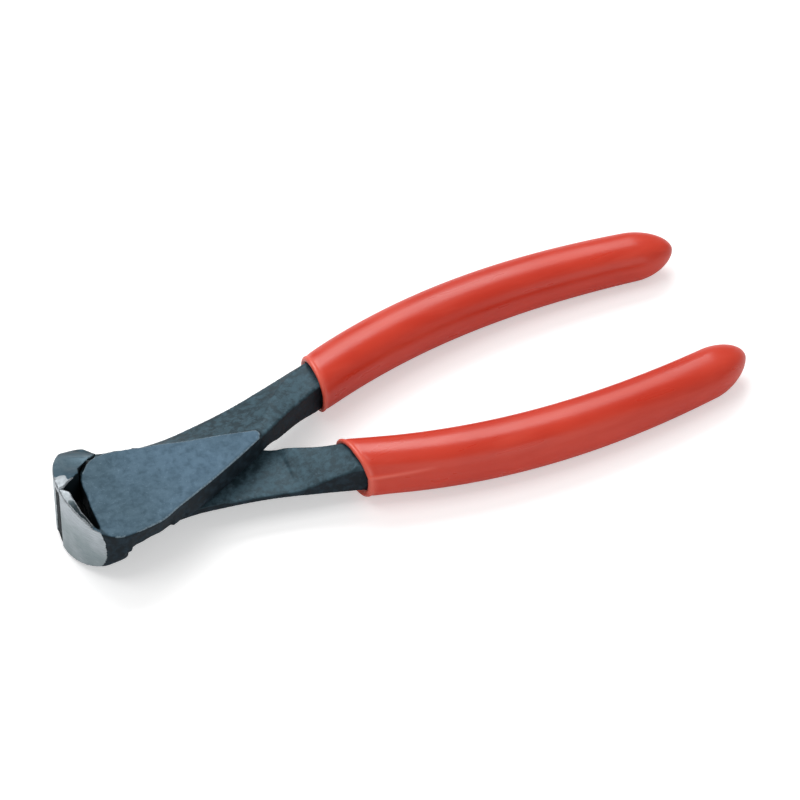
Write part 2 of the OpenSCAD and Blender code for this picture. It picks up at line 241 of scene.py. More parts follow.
def blued(n, coord):
    """Smooth blued steel with a fine grain, as on the plate and the rivet's heads."""
    cloud, mottle, grain = n.noise(coord, *CLOUD), n.noise(coord, *MOTTLE), n.noise(coord, *GRAIN)
    along = n.remap(n.axis(coord, "X"), PLATE_FROM, PLATE_TO, 0, 0.75)
    tone = n.math("ADD", along, n.remap(cloud, 0.3, 0.7, -0.12, 0.3))
    colour = n.mix(n.remap(tone, 0, 1, 0, 1, False), *BLUED)
    colour = n.mix(n.remap(mottle, 0.48, 0.75, 0, 0.22), colour, BLUED_DARK)
    colour = n.mix(n.remap(grain, 0.58, 0.78, 0, 0.3), colour, BLUED_SPECK)
    return colour, mottle, grain


def skin_height(n, mottle, grain):
    return n.math("ADD", n.math("MULTIPLY", mottle, 0.8), n.math("MULTIPLY", grain, 0.35))


def black_steel(n, coord):
    """The blackened forging's colour, and the noises that its skin uses too."""
    colour, mottle, grain = blued(n, coord)
    flake = n.noise(coord, *FLAKE)
    rough = n.mix(n.remap(mottle, 0.36, 0.68, 0, 1), *ROUGH)
    rough = n.mix(n.remap(flake, 0.6, 0.78, 0, 0.4), rough, BLUED_SPECK)
    colour = n.mix(n.attribute("rough"), colour, rough)
    # painted light on the far jaw's back, growing away from the parting line and towards the pivot
    pale = n.math("MULTIPLY", n.attribute("pale"), n.remap(flake, 0.3, 0.6, 0.6, 1))
    colour = n.mix(pale, colour, LIT_PALE)
    scuff = n.math("MULTIPLY", n.attribute("scuff"), n.remap(flake, 0.35, 0.6, 0.35, 1))
    colour = n.mix(scuff, colour, SCUFF)
    # painted shade on the steep walls, which are rougher too
    side = n.mix(n.remap(mottle, 0.4, 0.7, 0, 1), *SHADED_SIDE)
    colour = n.mix(n.attribute("wall"), colour, side)
    # paler along the plate's rounded rim
    rim = n.math("MULTIPLY", n.attribute("rim"), n.remap(grain, 0.3, 0.65, 0.3, 0.85))
    colour = n.mix(rim, colour, RIM_PALE)
    # painted shade in the concave creases and in the line under the plate's step
    colour = n.mix(n.math("MULTIPLY", n.attribute("crease"), 0.7), colour, SHADE_AND_PATCH)
    # painted shade in the throat, the seam and the parting bevel, and the darker patch by the tips
    return n.mix(n.attribute("deep"), colour, SHADE_AND_PATCH), mottle, grain, flake


def ground_steel(n, coord):
    """The ground jaws' colour with a painted highlight towards their top, and their grinding lines."""
    lines = n.noise(n.stretched(coord, LINE_STRETCH), *LINES)
    blotch = n.noise(coord, *BLOTCH)
    colour = n.mix(n.remap(blotch, 0.35, 0.7, 0, 1), *GROUND)
    # painted highlight: brighter towards the top
    colour = n.mix(n.remap(n.axis(coord, "Z"), CROWN_FROM, CROWN_TO, 0, 0.75), colour, GROUND_HIGHLIGHT)
    colour = n.mix(n.remap(lines, 0.4, 0.7, 0, 0.5), colour, GROUND_LINE)
    return n.mix(n.math("MULTIPLY", n.attribute("tip"), 0.85), colour, GROUND_TIP), lines


def ragged_ground(n, coord):
    """The ground mask with a ragged border."""
    ragged = n.remap(n.noise(coord, *RAGGED), 0.3, 0.7, -0.2, 0.2, False)
    return n.remap(n.math("ADD", n.attribute("ground"), ragged), 0.4, 0.6, 0, 1)


def steel_material():
    """Blackened forging with bright ground jaws, both driven by masks kept on the mesh."""
    n = Nodes("forged_steel")
    coord = n.add("ShaderNodeTexCoord").outputs["Object"]
    black, mottle, grain, flake = black_steel(n, coord)
    bright, lines = ground_steel(n, coord)
    mask = ragged_ground(n, coord)
    shader = n.add("ShaderNodeBsdfPrincipled")
    n.link(n.mix(mask, black, bright), shader.inputs["Base Color"])
    n.link(n.remap(mask, 0, 1, STEEL_METAL, GROUND_METAL, False), shader.inputs["Metallic"])
    gloss = n.remap(mask, 0, 1, STEEL_GLOSS, GROUND_GLOSS, False)
    shade = n.remap(n.attribute("deep"), 0, 1, 1, DEEP_GLOSS, False)
    n.link(n.math("MULTIPLY", gloss, shade), shader.inputs["Specular IOR Level"])
    rougher = n.math("MULTIPLY", n.attribute("wall"), 0.12)
    rough_black = n.math("ADD", n.remap(mottle, 0.3, 0.7, *STEEL_ROUGH), rougher)
    rough_ground = n.remap(lines, 0.3, 0.7, *GROUND_ROUGH)
    n.link(n.blend(mask, rough_black, rough_ground), shader.inputs["Roughness"])
    flakes = n.math("MULTIPLY", n.math("MULTIPLY", flake, n.attribute("rough")), 0.5)
    height = n.math("ADD", skin_height(n, mottle, grain), flakes)
    height = n.math("MULTIPLY", height, n.remap(mask, 0, 1, 1, 0.06, False))
    n.bump(shader, height, *STEEL_BUMP)
    return n.finish(shader)


def rivet_material():
    """The same blued steel as on the plate, where the rivet is ground flush with it."""
    n = Nodes("rivet_steel")
    coord = n.add("ShaderNodeTexCoord").outputs["Object"]
    colour, mottle, grain = blued(n, coord)
    shader = n.add("ShaderNodeBsdfPrincipled")
    shader.inputs["Metallic"].default_value = STEEL_METAL
    shader.inputs["Specular IOR Level"].default_value = STEEL_GLOSS
    n.link(colour, shader.inputs["Base Color"])
    n.link(n.remap(mottle, 0.3, 0.7, *STEEL_ROUGH), shader.inputs["Roughness"])
    n.bump(shader, skin_height(n, mottle, grain), *STEEL_BUMP)
    return n.finish(shader)


def grip_material():
    """Red dipped vinyl: satin skin, faint flow streaks, a painted highlight on the mouth's lip and along the fold's
    ridge, paler at the nose's end.
    """
    n = Nodes("dipped_plastic")
    coord = n.add("ShaderNodeTexCoord").outputs["Object"]
    streak = n.noise(n.stretched(coord, STREAK_STRETCH), *STREAK)
    cloud, fine = n.noise(coord, *VINYL_CLOUD), n.noise(coord, *VINYL_FINE)
    colour = n.mix(n.remap(cloud, 0.3, 0.7, 0, 1), *VINYL)
    colour = n.mix(n.remap(streak, 0.45, 0.75, 0, 0.35), colour, VINYL_STREAK)
    # painted highlight on the mouth's lip and along the fold's ridge; paler at the nose's end
    colour = n.mix(n.math("MULTIPLY", n.attribute("lip"), 0.55), colour, VINYL_HIGHLIGHT_PALE)
    shader = n.add("ShaderNodeBsdfPrincipled")
    n.link(colour, shader.inputs["Base Color"])
    n.link(n.remap(streak, 0.3, 0.7, *VINYL_ROUGH), shader.inputs["Roughness"])
    shader.inputs["Specular IOR Level"].default_value = 0.45
    shader.inputs["Subsurface Weight"].default_value = 0.08
    shader.inputs["Subsurface Radius"].default_value = (0.002, 0.0006, 0.0004)
    n.bump(shader, n.math("ADD", n.math("MULTIPLY", fine, 0.25), streak), *VINYL_BUMP)
    return n.finish(shader)


# Levers
VOXEL = 0.3 * MM
RIM_SLACK = 0.05 * MM       # for finding the rim of the rivet's hole
PAST_FACE = 1 * MM          # how far the hole's cutter goes on past each face
PRESSED, RUNNING = 0.01 * MM, 0.05 * MM     # how much wider than the rivet each hole is
SOFTENING, SMOOTHING = 4, 60                # rounds of relaxing, for all of the skin and for its flats


def fill_pivot_hole(mesh):
    """Closes the rivet's hole, so that it can be cut again with a sharp rim."""
    bm = bmesh.new()
    bm.from_mesh(mesh)
    inside = [f for f in bm.faces if all(v.co.xy.length < HEAD_R + RIM_SLACK for v in f.verts)]
    bmesh.ops.delete(bm, geom=inside, context="FACES")
    bmesh.ops.holes_fill(bm, edges=[e for e in bm.edges if e.is_boundary])
    bmesh.ops.triangulate(bm, faces=[f for f in bm.faces if len(f.verts) > 4])
    bmesh.ops.recalc_face_normals(bm, faces=bm.faces)
    bm.to_mesh(mesh)
    bm.free()


def cut_pivot_hole(obj, clearance, spread):
    """Cuts the rivet's form out of the lever, wider by the clearance.

    Past the rear face the cutter spreads on like the head, where spread isn't 0.
    """
    cutter = node_mesh("pivot_rivet", "cutter")
    for v in cutter.data.vertices:
        radius = v.co.xy.length
        if radius > clearance:
            v.co.xy *= 1 + clearance / radius
        if v.co.z < VOXEL:
            v.co.z -= PAST_FACE
            v.co.xy *= 1 + spread * PAST_FACE / HEAD_R
        if v.co.z > 2 * HALF - VOXEL:
            v.co.z += PAST_FACE
    cut = obj.modifiers.new("cut", "BOOLEAN")
    cut.operation = "DIFFERENCE"
    cut.solver = "EXACT"
    cut.object = cutter
    bake_modifiers(obj)
    mesh = cutter.data
    bpy.data.objects.remove(cutter)
    bpy.data.meshes.remove(mesh)


def read(mesh, kind):
    values = np.empty(len(mesh.vertices) * 3)
    mesh.vertices.foreach_get(kind, values)
    return values.reshape(-1, 3)


def write(mesh, co):
    mesh.vertices.foreach_set("co", co.ravel())
    mesh.update()


def turned(points, flip):
    """Points in the lever's own terms: the rear lever is the front one turned over."""
    out = points.copy()
    out[:, 2] -= HALF
    if flip:
        out[:, 1:] *= -1
    return out


def turned_back(points, flip):
    out = points.copy()
    if flip:
        out[:, 1:] *= -1
    out[:, 2] += HALF
    return out


def turned_normals(mesh, flip):
    out = read(mesh, "normal")
    if flip:
        out[:, 1:] *= -1
    return out


def neighbours(mesh):
    ends = np.empty(len(mesh.edges) * 2, np.int64)
    mesh.edges.foreach_get("vertices", ends)
    ends = ends.reshape(-1, 2)
    return np.concatenate([ends[:, 0], ends[:, 1]]), np.concatenate([ends[:, 1], ends[:, 0]])


def averages(values, links):
    """Each vertex's mean over the vertices next to it."""
    here, there = links
    count = np.maximum(np.bincount(here, minlength=len(values)), 1)
    if values.ndim == 1:
        return np.bincount(here, weights=values[there], minlength=len(values)) / count
    return np.stack([averages(values[:, k], links) for k in range(values.shape[1])], axis=1)


def relax(co, links, weight, rounds):
    for _ in range(rounds):
        co = co + 0.5 * weight[:, None] * (averages(co, links) - co)
    return co


def crown_distance(x, y):
    """How far inside the rounded end of the closed jaws each point lies."""
    y = np.abs(y)
    corner_y = HEAD_HW - CORNER_R
    crown_x = CROWN_R - REACH
    corner_x = crown_x - math.sqrt((CROWN_R - CORNER_R) ** 2 - corner_y ** 2)
    corner_a = math.atan2(corner_y, crown_x - corner_x)
    on_arc = y < corner_y + CORNER_R * math.sin(corner_a)
    return np.where(on_arc, CROWN_R - np.hypot(x - crown_x, y), CORNER_R - np.hypot(x - corner_x, y - corner_y))


def near_crown(x, y):
    """1 on the rounded end's skin and 0 from 0.7 mm inside it."""
    return (1 - ramp(crown_distance(x, y), 0.25 * MM, 0.7 * MM)) * (x < -6 * MM)


# the radius that the shoulder is drawn in to, by the angle up the jaw's own side from its tip
SHOULDER_ANGLES = (0, 20.5, 24, 27, 30, 33, 36, 39, 45, 60)
SHOULDER_R = (17.2, 17.2, 16.85, 16.4, 16.05, 15.7, 15.3, 14.9, 14.6, 14.6)
DRAWN, ROUNDED = (0.3 * MM, 4.5 * MM), (1.2 * MM, 5.5 * MM)     # how far past the lap face each fades
SHOULDER_TOP = 7.5 * MM     # above the middle plane
LIP_FOOT, LIP_FALL = 6.8 * MM, 1.9 * MM     # where the lip starts, and how much lower where the plate is narrow
LIP_STEP = 0.25 * MM


def fill_shoulder(p):
    """Draws the jaw's inner wall in over the other lever's ledge to its plate, and rounds it down to it."""
    x, y, z = p[:, 0], p[:, 1], p[:, 2]
    r = np.hypot(x, y)
    angle = np.degrees(np.arctan2(-y, -x))
    plate_r = np.interp(angle, SHOULDER_ANGLES, SHOULDER_R) * MM
    here = (z < 0) * (r > LAP_R - 0.6 * MM) * (x < 0) * (y < 0)
    drawn = (1 - ease(r, LAP_R + DRAWN[0], LAP_R + DRAWN[1])) * here
    rounded = (1 - ease(r, LAP_R + ROUNDED[0], LAP_R + ROUNDED[1])) * here
    foot = LIP_FOOT - LIP_FALL * ramp(angle, 37, 41)
    pull = np.maximum(LAP_R - plate_r, 0) * drawn * ramp(-z - foot, 0, LIP_STEP)
    p[:, 0] -= x / r * pull
    p[:, 1] -= y / r * pull
    p[:, 2] += np.maximum(-z - SHOULDER_TOP, 0) * rounded * 0.9 * ease(angle, 10, 34)


BEVEL_DEPTH = 0.35 * MM
REAR_BEVEL, FRONT_BEVEL = (2.9 * MM, 3.8 * MM), (0.2 * MM, 0.6 * MM)    # where it fades, from the parting line
BEVEL_WIDENS = 0.9 * MM     # over BEVEL_RUN of height
BEVEL_RUN, BEVEL_TOP = 11 * MM, (8.7 * MM, 9.4 * MM)


def part_line(p, flip):
    """The unground bevel along the parting line of the crown, below the tips: wide on one jaw only."""
    x, y, z = p.T
    height = -z if flip else z
    start, end = REAR_BEVEL if flip else FRONT_BEVEL
    shift = ramp(-height, 0, BEVEL_RUN) * BEVEL_WIDENS if flip else 0
    here = (1 - ramp(np.abs(y) - shift, start, end)) * (1 - ramp(height, *BEVEL_TOP))
    return here * (1 - ramp(crown_distance(x, y), 0.5 * MM, 1.1 * MM)) * (x < -17 * MM)


FULLER = 0.45 * MM


def full_corner(p):
    """The jaw's outer corner, a little fuller than the plain drawing."""
    x, y, z = p[:, 0], p[:, 1], p[:, 2]
    here = ease(-y, 9 * MM, 15 * MM) * ease(x, -23 * MM, -17 * MM) * (1 - ease(x, -13 * MM, -6 * MM))
    p[:, 1] -= here * FULLER * (1 - ramp(np.abs(z), 6 * MM, 14 * MM))


REAR_SHIFT = 3.1            # takes the rear lever's waves from another part of the noise
SUNK = 0.03                 # mm, with waves and pits about it
WAVES, PITS = (0.16, 0.035), (0.9, 0.018)   # how many to the mm, and how deep in mm


def forge_depth(p, flip):
    """Low waves and pits of a forging."""
    shift = REAR_SHIFT if flip else 0.0
    depth = np.empty(len(p))
    for i, (x, y, z) in enumerate(p / MM):
        depth[i] = SUNK
        for many, deep in (WAVES, PITS):
            depth[i] += deep * noise.noise((x * many + shift, y * many, z * many))
    return depth * MM


GROUND_HW = 16.3 * MM       # half the ground face's width at the middle of its height
JAW_RISE = 11 * MM          # the jaw's height either side of the middle plane
NARROWER_UP, NARROWER_FRONT, NARROWER_REAR = 2.2, 4.9, 8.0  # mm less at the top, and at the bottom of each jaw


def ground_mask(p, n, worn, flip):
    """Where the jaws are ground bright: the rounded end, the tips and the inner edge."""
    x, y, z = p.T
    side = np.abs(y)
    outward = ramp(-n[:, 0] + 0.35 * np.abs(n[:, 1]), 0.25, 0.6)
    height = z / JAW_RISE
    narrower = np.where(height > 0, NARROWER_UP, NARROWER_REAR if flip else NARROWER_FRONT) * MM
    crown = near_crown(x, y) * outward * ramp(GROUND_HW - narrower * height ** 2 - side, 0, 0.8 * MM)
    tip = (1 - ramp(x, -REACH + 2.2 * MM, -REACH + 4.6 * MM)) * (1 - ramp(side, 3.0 * MM, 5.5 * MM))
    tip = tip * (np.abs(z) > 5 * MM) * (1 - ramp(n[:, 0], 0.1, 0.35))
    edge_hw = np.where(z > 0, 15 * MM, 2.4 * MM)
    edge = worn * (x < -14.5 * MM) * (np.abs(z) > 7.5 * MM) * (side < edge_hw)
    return np.maximum.reduce([crown, tip, edge]) * (1 - part_line(p, flip))


def throat_mask(p, n, inside):
    """The hollow behind the edges, where little light gets in."""
    x, y, z = p.T
    steep = np.abs(n[:, 2]) < 0.75
    walls = steep & (n[:, 0] > 0.2)
    low = (np.abs(z) < 6.9 * MM) & (steep | (np.abs(z) < 5 * MM))
    throat = (inside > 0.6 * MM) & (np.abs(y) < 13.6 * MM) & (x < -13.5 * MM)
    return throat & (walls | ((inside > 1.2 * MM) & low))


SEAM_START, SEAM_RUN = (-18.6 * MM, -12.6 * MM), (1.4 * MM, -4.2 * MM)
PATCH = (-22 * MM, -9 * MM)


def seam_shade(x, y, z):
    """Painted shade in the line between the near jaw's strip and its plate, fading along its run."""
    from_x, from_y = x - SEAM_START[0], y - SEAM_START[1]
    run_x, run_y = SEAM_RUN
    along = np.clip((from_x * run_x + from_y * run_y) / (run_x ** 2 + run_y ** 2), 0, 1)
    away = np.hypot(from_x - run_x * along, from_y - run_y * along)
    return (1 - ramp(away, 0.2 * MM, 0.6 * MM)) * (1 - 0.6 * along) * (z > 6 * MM)


def shade_and_patch_mask(p, n, inside, flip):
    """All that is darkest: painted shade in the throat, the seam and on the parting bevel over its unground steel,
    and a darker patch by the tips.
    """
    x, y, z = p.T
    patch = (1 - ramp(np.hypot(x - PATCH[0], y - PATCH[1]), 2.5 * MM, 4.5 * MM)) * (z > 6 * MM)
    parts = [throat_mask(p, n, inside) * 0.9, 0.75 * patch, 0.9 * seam_shade(x, y, z), 0.8 * part_line(p, flip)]
    return np.maximum.reduce(parts)


def skin_bulge(mesh, links):
    """How far each vertex stands over its neighbours, in voxels."""
    co, normal = read(mesh, "co"), read(mesh, "normal")
    bulge = ((co - averages(co, links)) * normal).sum(axis=1)
    return averages(averages(bulge, links), links) / VOXEL


def set_masks(obj, flip):
    """Masks for the steel: ground jaws, painted shade on the walls, in the creases and in the deep throat, paler
    plate rims, painted light on the far jaw's back, and rough forging.
    """
    mesh = obj.data
    bulge = skin_bulge(mesh, neighbours(mesh))
    p, n = turned(read(mesh, "co"), flip), turned_normals(mesh, flip)
    x, y, z = p.T
    side, high, upright = np.abs(y), np.abs(z), np.abs(n[:, 2])
    inside = crown_distance(x, y)
    tilt = 1 - n[:, 2]
    jaw_back = ramp(-z, 6.0 * MM, 7.2 * MM) * (x < -9 * MM)
    wall = np.clip(1 - (upright - 0.25) / 0.45, 0, 1)
    ledge_line = ramp(tilt, 0.02, 0.08) * (np.abs(z - 6.78 * MM) < 0.14 * MM)
    plate_edge = (z > 6.93 * MM) * (z < 7.3 * MM) * (x > -15.5 * MM) * (side < 18 * MM)
    masks = {
        "ground": ground_mask(p, n, ramp(bulge, 0.03, 0.08), flip),
        # painted shade on the steep walls, less of it on the far jaw's back
        "wall": wall * (1 - 0.8 * (x > -17 * MM) * jaw_back),
        "rim": ramp(tilt, 0.012, 0.06) * plate_edge,
        # painted shade in the concave creases and in the line under the plate's step
        "crease": np.maximum(ramp(-bulge, 0.03, 0.1), ledge_line),
        "rough": ramp(7.0 * MM - z, 0, 0.25 * MM) * (1 - jaw_back),
        # painted shade in the throat, the seam and the parting bevel, and the darker patch by the tips
        "deep": shade_and_patch_mask(p, n, inside, flip),
        "tip": (upright > 0.5) * (high > 7 * MM),
        # painted light on the far jaw's back, growing away from the parting line and towards the pivot
        "pale": jaw_back * (0.55 * ease(side, 3 * MM, 9 * MM) + 0.45 * ease(x, -15 * MM, -12 * MM)),
        "scuff": (inside < 4.0 * MM) * (z > 7.35 * MM) * (x < -15 * MM),
    }
    for key, value in masks.items():
        attr = mesh.attributes.new(key, "FLOAT", "POINT")
        attr.data.foreach_set("value", np.asarray(value, np.float32))


def relax_forging(p, n, links):
    """Softens the skin, and irons out the shanks' flats and the jaws' shoulders. The ground crown keeps its form."""
    x, y, z = p.T
    flats = ease(np.abs(n[:, 2]), 0.93, 0.99)
    shank = flats * ease(x, 24 * MM, 29 * MM) * (1 - ease(x, 44 * MM, 48 * MM))
    shoulder = ease(np.abs(y), 11.5 * MM, 14 * MM) * ease(x, -19 * MM, -16 * MM) * (1 - ease(x, -6 * MM, 0))
    shoulder = shoulder * (1 - ease(np.abs(z), 3 * MM, 5.5 * MM))
    p = relax(p, links, 1 - near_crown(x, y), SOFTENING)
    return relax(p, links, np.clip(shank + 0.6 * shoulder, 0, 1), SMOOTHING)


def shape_forging(obj, flip):
    """Gives the remeshed lever its forged form."""
    mesh = obj.data
    p = turned(read(mesh, "co"), flip)
    forged = 1 - near_crown(p[:, 0], p[:, 1])
    p = relax_forging(p, turned_normals(mesh, flip), neighbours(mesh))
    fill_shoulder(p)
    full_corner(p)
    p[:, 0] += part_line(p, flip) * BEVEL_DEPTH
    write(mesh, turned_back(p, flip))
    co, normal = read(mesh, "co"), read(mesh, "normal")
    by_rivet = 1 - ramp(np.hypot(p[:, 0], p[:, 1]), 6 * MM, 7.5 * MM)
    flush = 1 - 0.8 * by_rivet * (np.abs(normal[:, 2]) > 0.9)
    write(mesh, co - normal * (forge_depth(p, flip) * forged * flush)[:, None])


def lever(node, name, body, material, flip, clearance, spread):
    obj = node_mesh(node, name)
    fill_pivot_hole(obj.data)
    remesh = obj.modifiers.new("remesh", "REMESH")
    remesh.mode = "VOXEL"
    remesh.voxel_size = VOXEL
    bake_modifiers(obj)
    shape_forging(obj, flip)
    set_masks(obj, flip)
    cut_pivot_hole(obj, clearance, spread)
    shade_smooth(obj.data)
    dress(obj, node, body, material)


# Grips
GRIP_W, GRIP_T = 14.6 * MM, 14.2 * MM
GRIP_END_W, GRIP_END_T = 12.3 * MM, 11.9 * MM
TANG_HW, TANG_HH = 5.1 * MM, 4.8 * MM
LIP_LEN, NOSE_LEN = 9 * MM, 11 * MM
MOUTH_SHARE = 0.985         # the mouth's width against the body's
RING_POWER, TANG_POWER = 0.87, 0.42
NOSE_POWER, NOSE_FULL = 1.85, 0.56
SKIN = 0.9 * MM             # the sleeve's wall at its mouth
AROUND, ALONG, NOSE_STEPS, BLEND_STEPS = 120, 150, 26, 24
BLEND_LEN = 14 * MM         # over which the slanted mouth's rings turn square
TIP_PALE = 1.6 * MM
# how far behind the mouth each ring inside the sleeve lies, and how far towards the tang
INNER_RINGS = ((4.0, 1.0), (0.9, 1.0), (0.4, 0.6))
# how far behind the mouth, and how high over the skin, each ring of the rolled lip lies
LIP_RINGS = ((2.6, 0), (2.0, -0.03), (1.5, -0.10), (1.15, -0.04), (0.9, 0.06), (0.6, 0.09), (0.3, 0.02),
             (0.1, -0.2), (0.0, -0.45), (0.02, -0.7), (0.15, -0.9))
FOLD_FROM, FOLD_TO = SHANK_LEN + 1 * MM, SHANK_LEN + 17 * MM
SHINE_FROM, SHINE_TO = SHANK_LEN + 2.6 * MM, SHANK_LEN + 18 * MM
FOLD_ANGLE, FOLD_TURN = -19, -12        # degrees round the sleeve, and how much more at its end


def handle_y(x):
    """The handle's middle line, a smooth curve between its two ends and slopes."""
    length = HANDLE_LEN - SHANK_LEN
    t = (x - SHANK_LEN) / length
    e = t * t * (3 - 2 * t)
    p, q = t * (1 - t) ** 2, -t * t * (1 - t)
    return MOUTH_Y + (END_Y - MOUTH_Y) * e + length * (MOUTH_SLOPE * p + END_SLOPE * q)


def ring_shape(a, w, h, power):
    c, s = math.cos(a), math.sin(a)
    return w * math.copysign(abs(c) ** power, c), h * math.copysign(abs(s) ** power, s)


class Sleeve:
    """One dipped sleeve in the front lever's terms: the shape of its skin and how its mouth is cut."""

    def __init__(self, flip, mouth_mean, mouth_tilt, flare, extra, nose_rise, crease):
        self.flip, self.flare = flip, flare
        self.mouth_mean, self.mouth_tilt = mouth_mean, mouth_tilt
        self.end = HANDLE_LEN + extra
        self.nose_rise, self.crease = nose_rise, crease

    def mouth(self, a):
        return SHANK_LEN + self.mouth_mean + self.mouth_tilt * math.cos(a)

    def from_fold(self, x, a):
        """How far along the fold x is, and the angle from the fold to a."""
        t = float(ramp(x, FOLD_FROM, FOLD_TO))
        edge = math.radians(FOLD_ANGLE + FOLD_TURN * t)
        return t, math.atan2(math.sin(a - edge), math.cos(a - edge))

    def fold(self, x, a):
        """The tang's edge showing through the skin, fading away from the mouth."""
        t, d = self.from_fold(x, a)
        ridge = 0.42 * math.exp(-(d / 0.075) ** 2)
        flat = 0.16 * math.exp(-((d - 0.42) / 0.30) ** 2) + 0.12 * math.exp(-((d + 0.25) / 0.18) ** 2)
        return self.crease * (ridge - flat) * (1 - t) ** 0.8 * MM

    def ridge_highlight(self, x, a):
        """The painted highlight along the fold's ridge, fading away from the mouth."""
        t = float(ramp(x, SHINE_FROM, SHINE_TO))
        d = self.from_fold(x, a)[1]
        return 1.6 * self.crease * math.exp(-(d / 0.06) ** 2) * (1 - t) ** 0.5

    def point(self, x, a, lift=0.0):
        """A point at x and angle a (0 at the outer side, 90 up), lifted over the skin."""
        t = float(ramp(x, SHANK_LEN, HANDLE_LEN))
        open_up = math.sin(math.pi / 2 * float(ramp(x, SHANK_LEN, SHANK_LEN + LIP_LEN)))
        u = float(ramp(x, self.end - NOSE_LEN, self.end))
        size = (MOUTH_SHARE + (1 - MOUTH_SHARE) * open_up) * max(0.0, 1 - u ** NOSE_POWER) ** NOSE_FULL
        w = (GRIP_W + (GRIP_END_W - GRIP_W) * t * t) / 2 * size + lift
        h = (GRIP_T + (GRIP_END_T - GRIP_T) * t * t) / 2 * size + lift
        fold = self.fold(x, a) + self.flare * max(0.0, math.cos(a - math.pi / 4)) * (1 - open_up)
        y, z = ring_shape(a, w + fold, h + fold, RING_POWER)
        rise = (-self.nose_rise if self.flip else self.nose_rise) * u ** 2
        return Vector((x, handle_y(x) + y, z + rise))

    def tang_point(self, x, a):
        y, z = ring_shape(a, TANG_HW, TANG_HH, TANG_POWER)
        return Vector((x, handle_y(x) + y, z))


FRONT_SLEEVE = Sleeve(False, 1.55 * MM, -0.25 * MM, 0.0, 0.0, 0.8 * MM, 0.0)
REAR_SLEEVE = Sleeve(True, -0.1 * MM, 1.3 * MM, 0.6 * MM, 0.9 * MM, 0.5 * MM, 1.0)


def ring_angles():
    return [2 * math.pi * k / AROUND for k in range(AROUND)]


def mouth_rings(sleeve):
    """Rings from inside the mouth out round its lip, each with its painted highlight."""
    rings = []
    for back, share in INNER_RINGS:
        ring = []
        for a in ring_angles():
            x = sleeve.mouth(a) + back * MM
            ring.append(sleeve.point(x, a, -SKIN).lerp(sleeve.tang_point(x, a), share))
        rings.append((ring, 1.0))
    for back, lift in reversed(LIP_RINGS):
        ring = [sleeve.point(sleeve.mouth(a) + back * MM, a, lift * MM) for a in ring_angles()]
        rings.append((ring, 1 - float(ramp(back, 0.9, 2.2))))
    return rings


def body_rings(sleeve):
    """Rings from behind the lip along to the nose, each with its paleness."""
    rings = []
    body = SHANK_LEN + BLEND_LEN
    for i in range(1, BLEND_STEPS + 1):
        ring = []
        for a in ring_angles():
            start = sleeve.mouth(a) + LIP_RINGS[0][0] * MM
            ring.append(sleeve.point(start + (body - start) * i / BLEND_STEPS, a))
        rings.append((ring, 0.0))
    nose = sleeve.end - NOSE_LEN
    stations = [body + (nose - body) * i / ALONG for i in range(1, ALONG + 1)]
    stations += [nose + NOSE_LEN * math.sin(math.pi / 2 * i / NOSE_STEPS) for i in range(1, NOSE_STEPS)]
    for x in stations:
        pale = float(ramp(x, sleeve.end - TIP_PALE, sleeve.end))
        rings.append(([sleeve.point(x, a) for a in ring_angles()], 0.5 * pale))
    return rings


def add_loops(bm, sleeve, lip_layer):
    """The rings as loops of vertices with their painted highlight and paleness, joined by faces."""
    loops = []
    for ring, pale in mouth_rings(sleeve) + body_rings(sleeve):
        loop = [bm.verts.new(p) for p in ring]
        for v, a in zip(loop, ring_angles()):
            v[lip_layer] = max(pale, sleeve.ridge_highlight(v.co.x, a))
        loops.append(loop)
    for one, two in zip(loops, loops[1:]):
        for k in range(AROUND):
            j = (k + 1) % AROUND
            bm.faces.new((one[k], one[j], two[j], two[k]))
    return loops


def close_ends(bm, loops, sleeve, lip_layer):
    for loop in (loops[0], loops[-1]):
        middle = bm.verts.new(sum((v.co for v in loop), Vector()) / AROUND)
        if loop is loops[-1]:
            middle.co.x = sleeve.end
            middle[lip_layer] = 0.5
        for k in range(AROUND):
            bm.faces.new((loop[k], loop[(k + 1) % AROUND], middle))


def grip(node, name, body, material, sleeve):
    bm = bmesh.new()
    lip_layer = bm.verts.layers.float.new("lip")
    loops = add_loops(bm, sleeve, lip_layer)
    close_ends(bm, loops, sleeve, lip_layer)
    over = Matrix.Rotation(math.pi, 4, "X") if sleeve.flip else Matrix.Identity(4)
    bmesh.ops.transform(bm, matrix=Matrix.Translation((0, 0, HALF)) @ over, verts=bm.verts)
    bmesh.ops.recalc_face_normals(bm, faces=bm.faces)
    mesh = bpy.data.meshes.new(name)
    bm.to_mesh(mesh)
    bm.free()
    shade_smooth(mesh)
    dress(new_object(name, mesh), node, body, material)


# Stage
FLOOR_SIZE = 3.0
FLOOR_DROP = 0.02 * MM      # keeps the floor just under what rests on it
FLOOR_MIDDLE = 55 * MM      # between the jaws and the grips
FLOOR_WHITE, FLOOR_GLOW = 0.82, 0.42
WORLD_LIGHT, WORLD_SEEN = 0.42, 1.0
LIGHT_AIM = (0.06, 0, 0)
# name, place, width, height and power
LIGHTS = (("key", (0.15, 0.75, 0.95), 0.9, 0.6, 9.0),
          ("top", (-0.35, 0.1, 1.1), 0.6, 0.6, 3.5),
          ("fill", (0.15, -1.0, 0.4), 0.8, 0.8, 2.0))
# the photograph's view, solved from the object
VIEW_RIGHT, VIEW_UP = (0.9146, -0.4043, 0), (0.3036, 0.6869, 0.6603)
VIEW_AIM, VIEW_DISTANCE = (69.61 * MM, 1.32 * MM, 7.25 * MM), 1.277
SENSOR, LENS, CLIP = 36, 225, 0.05


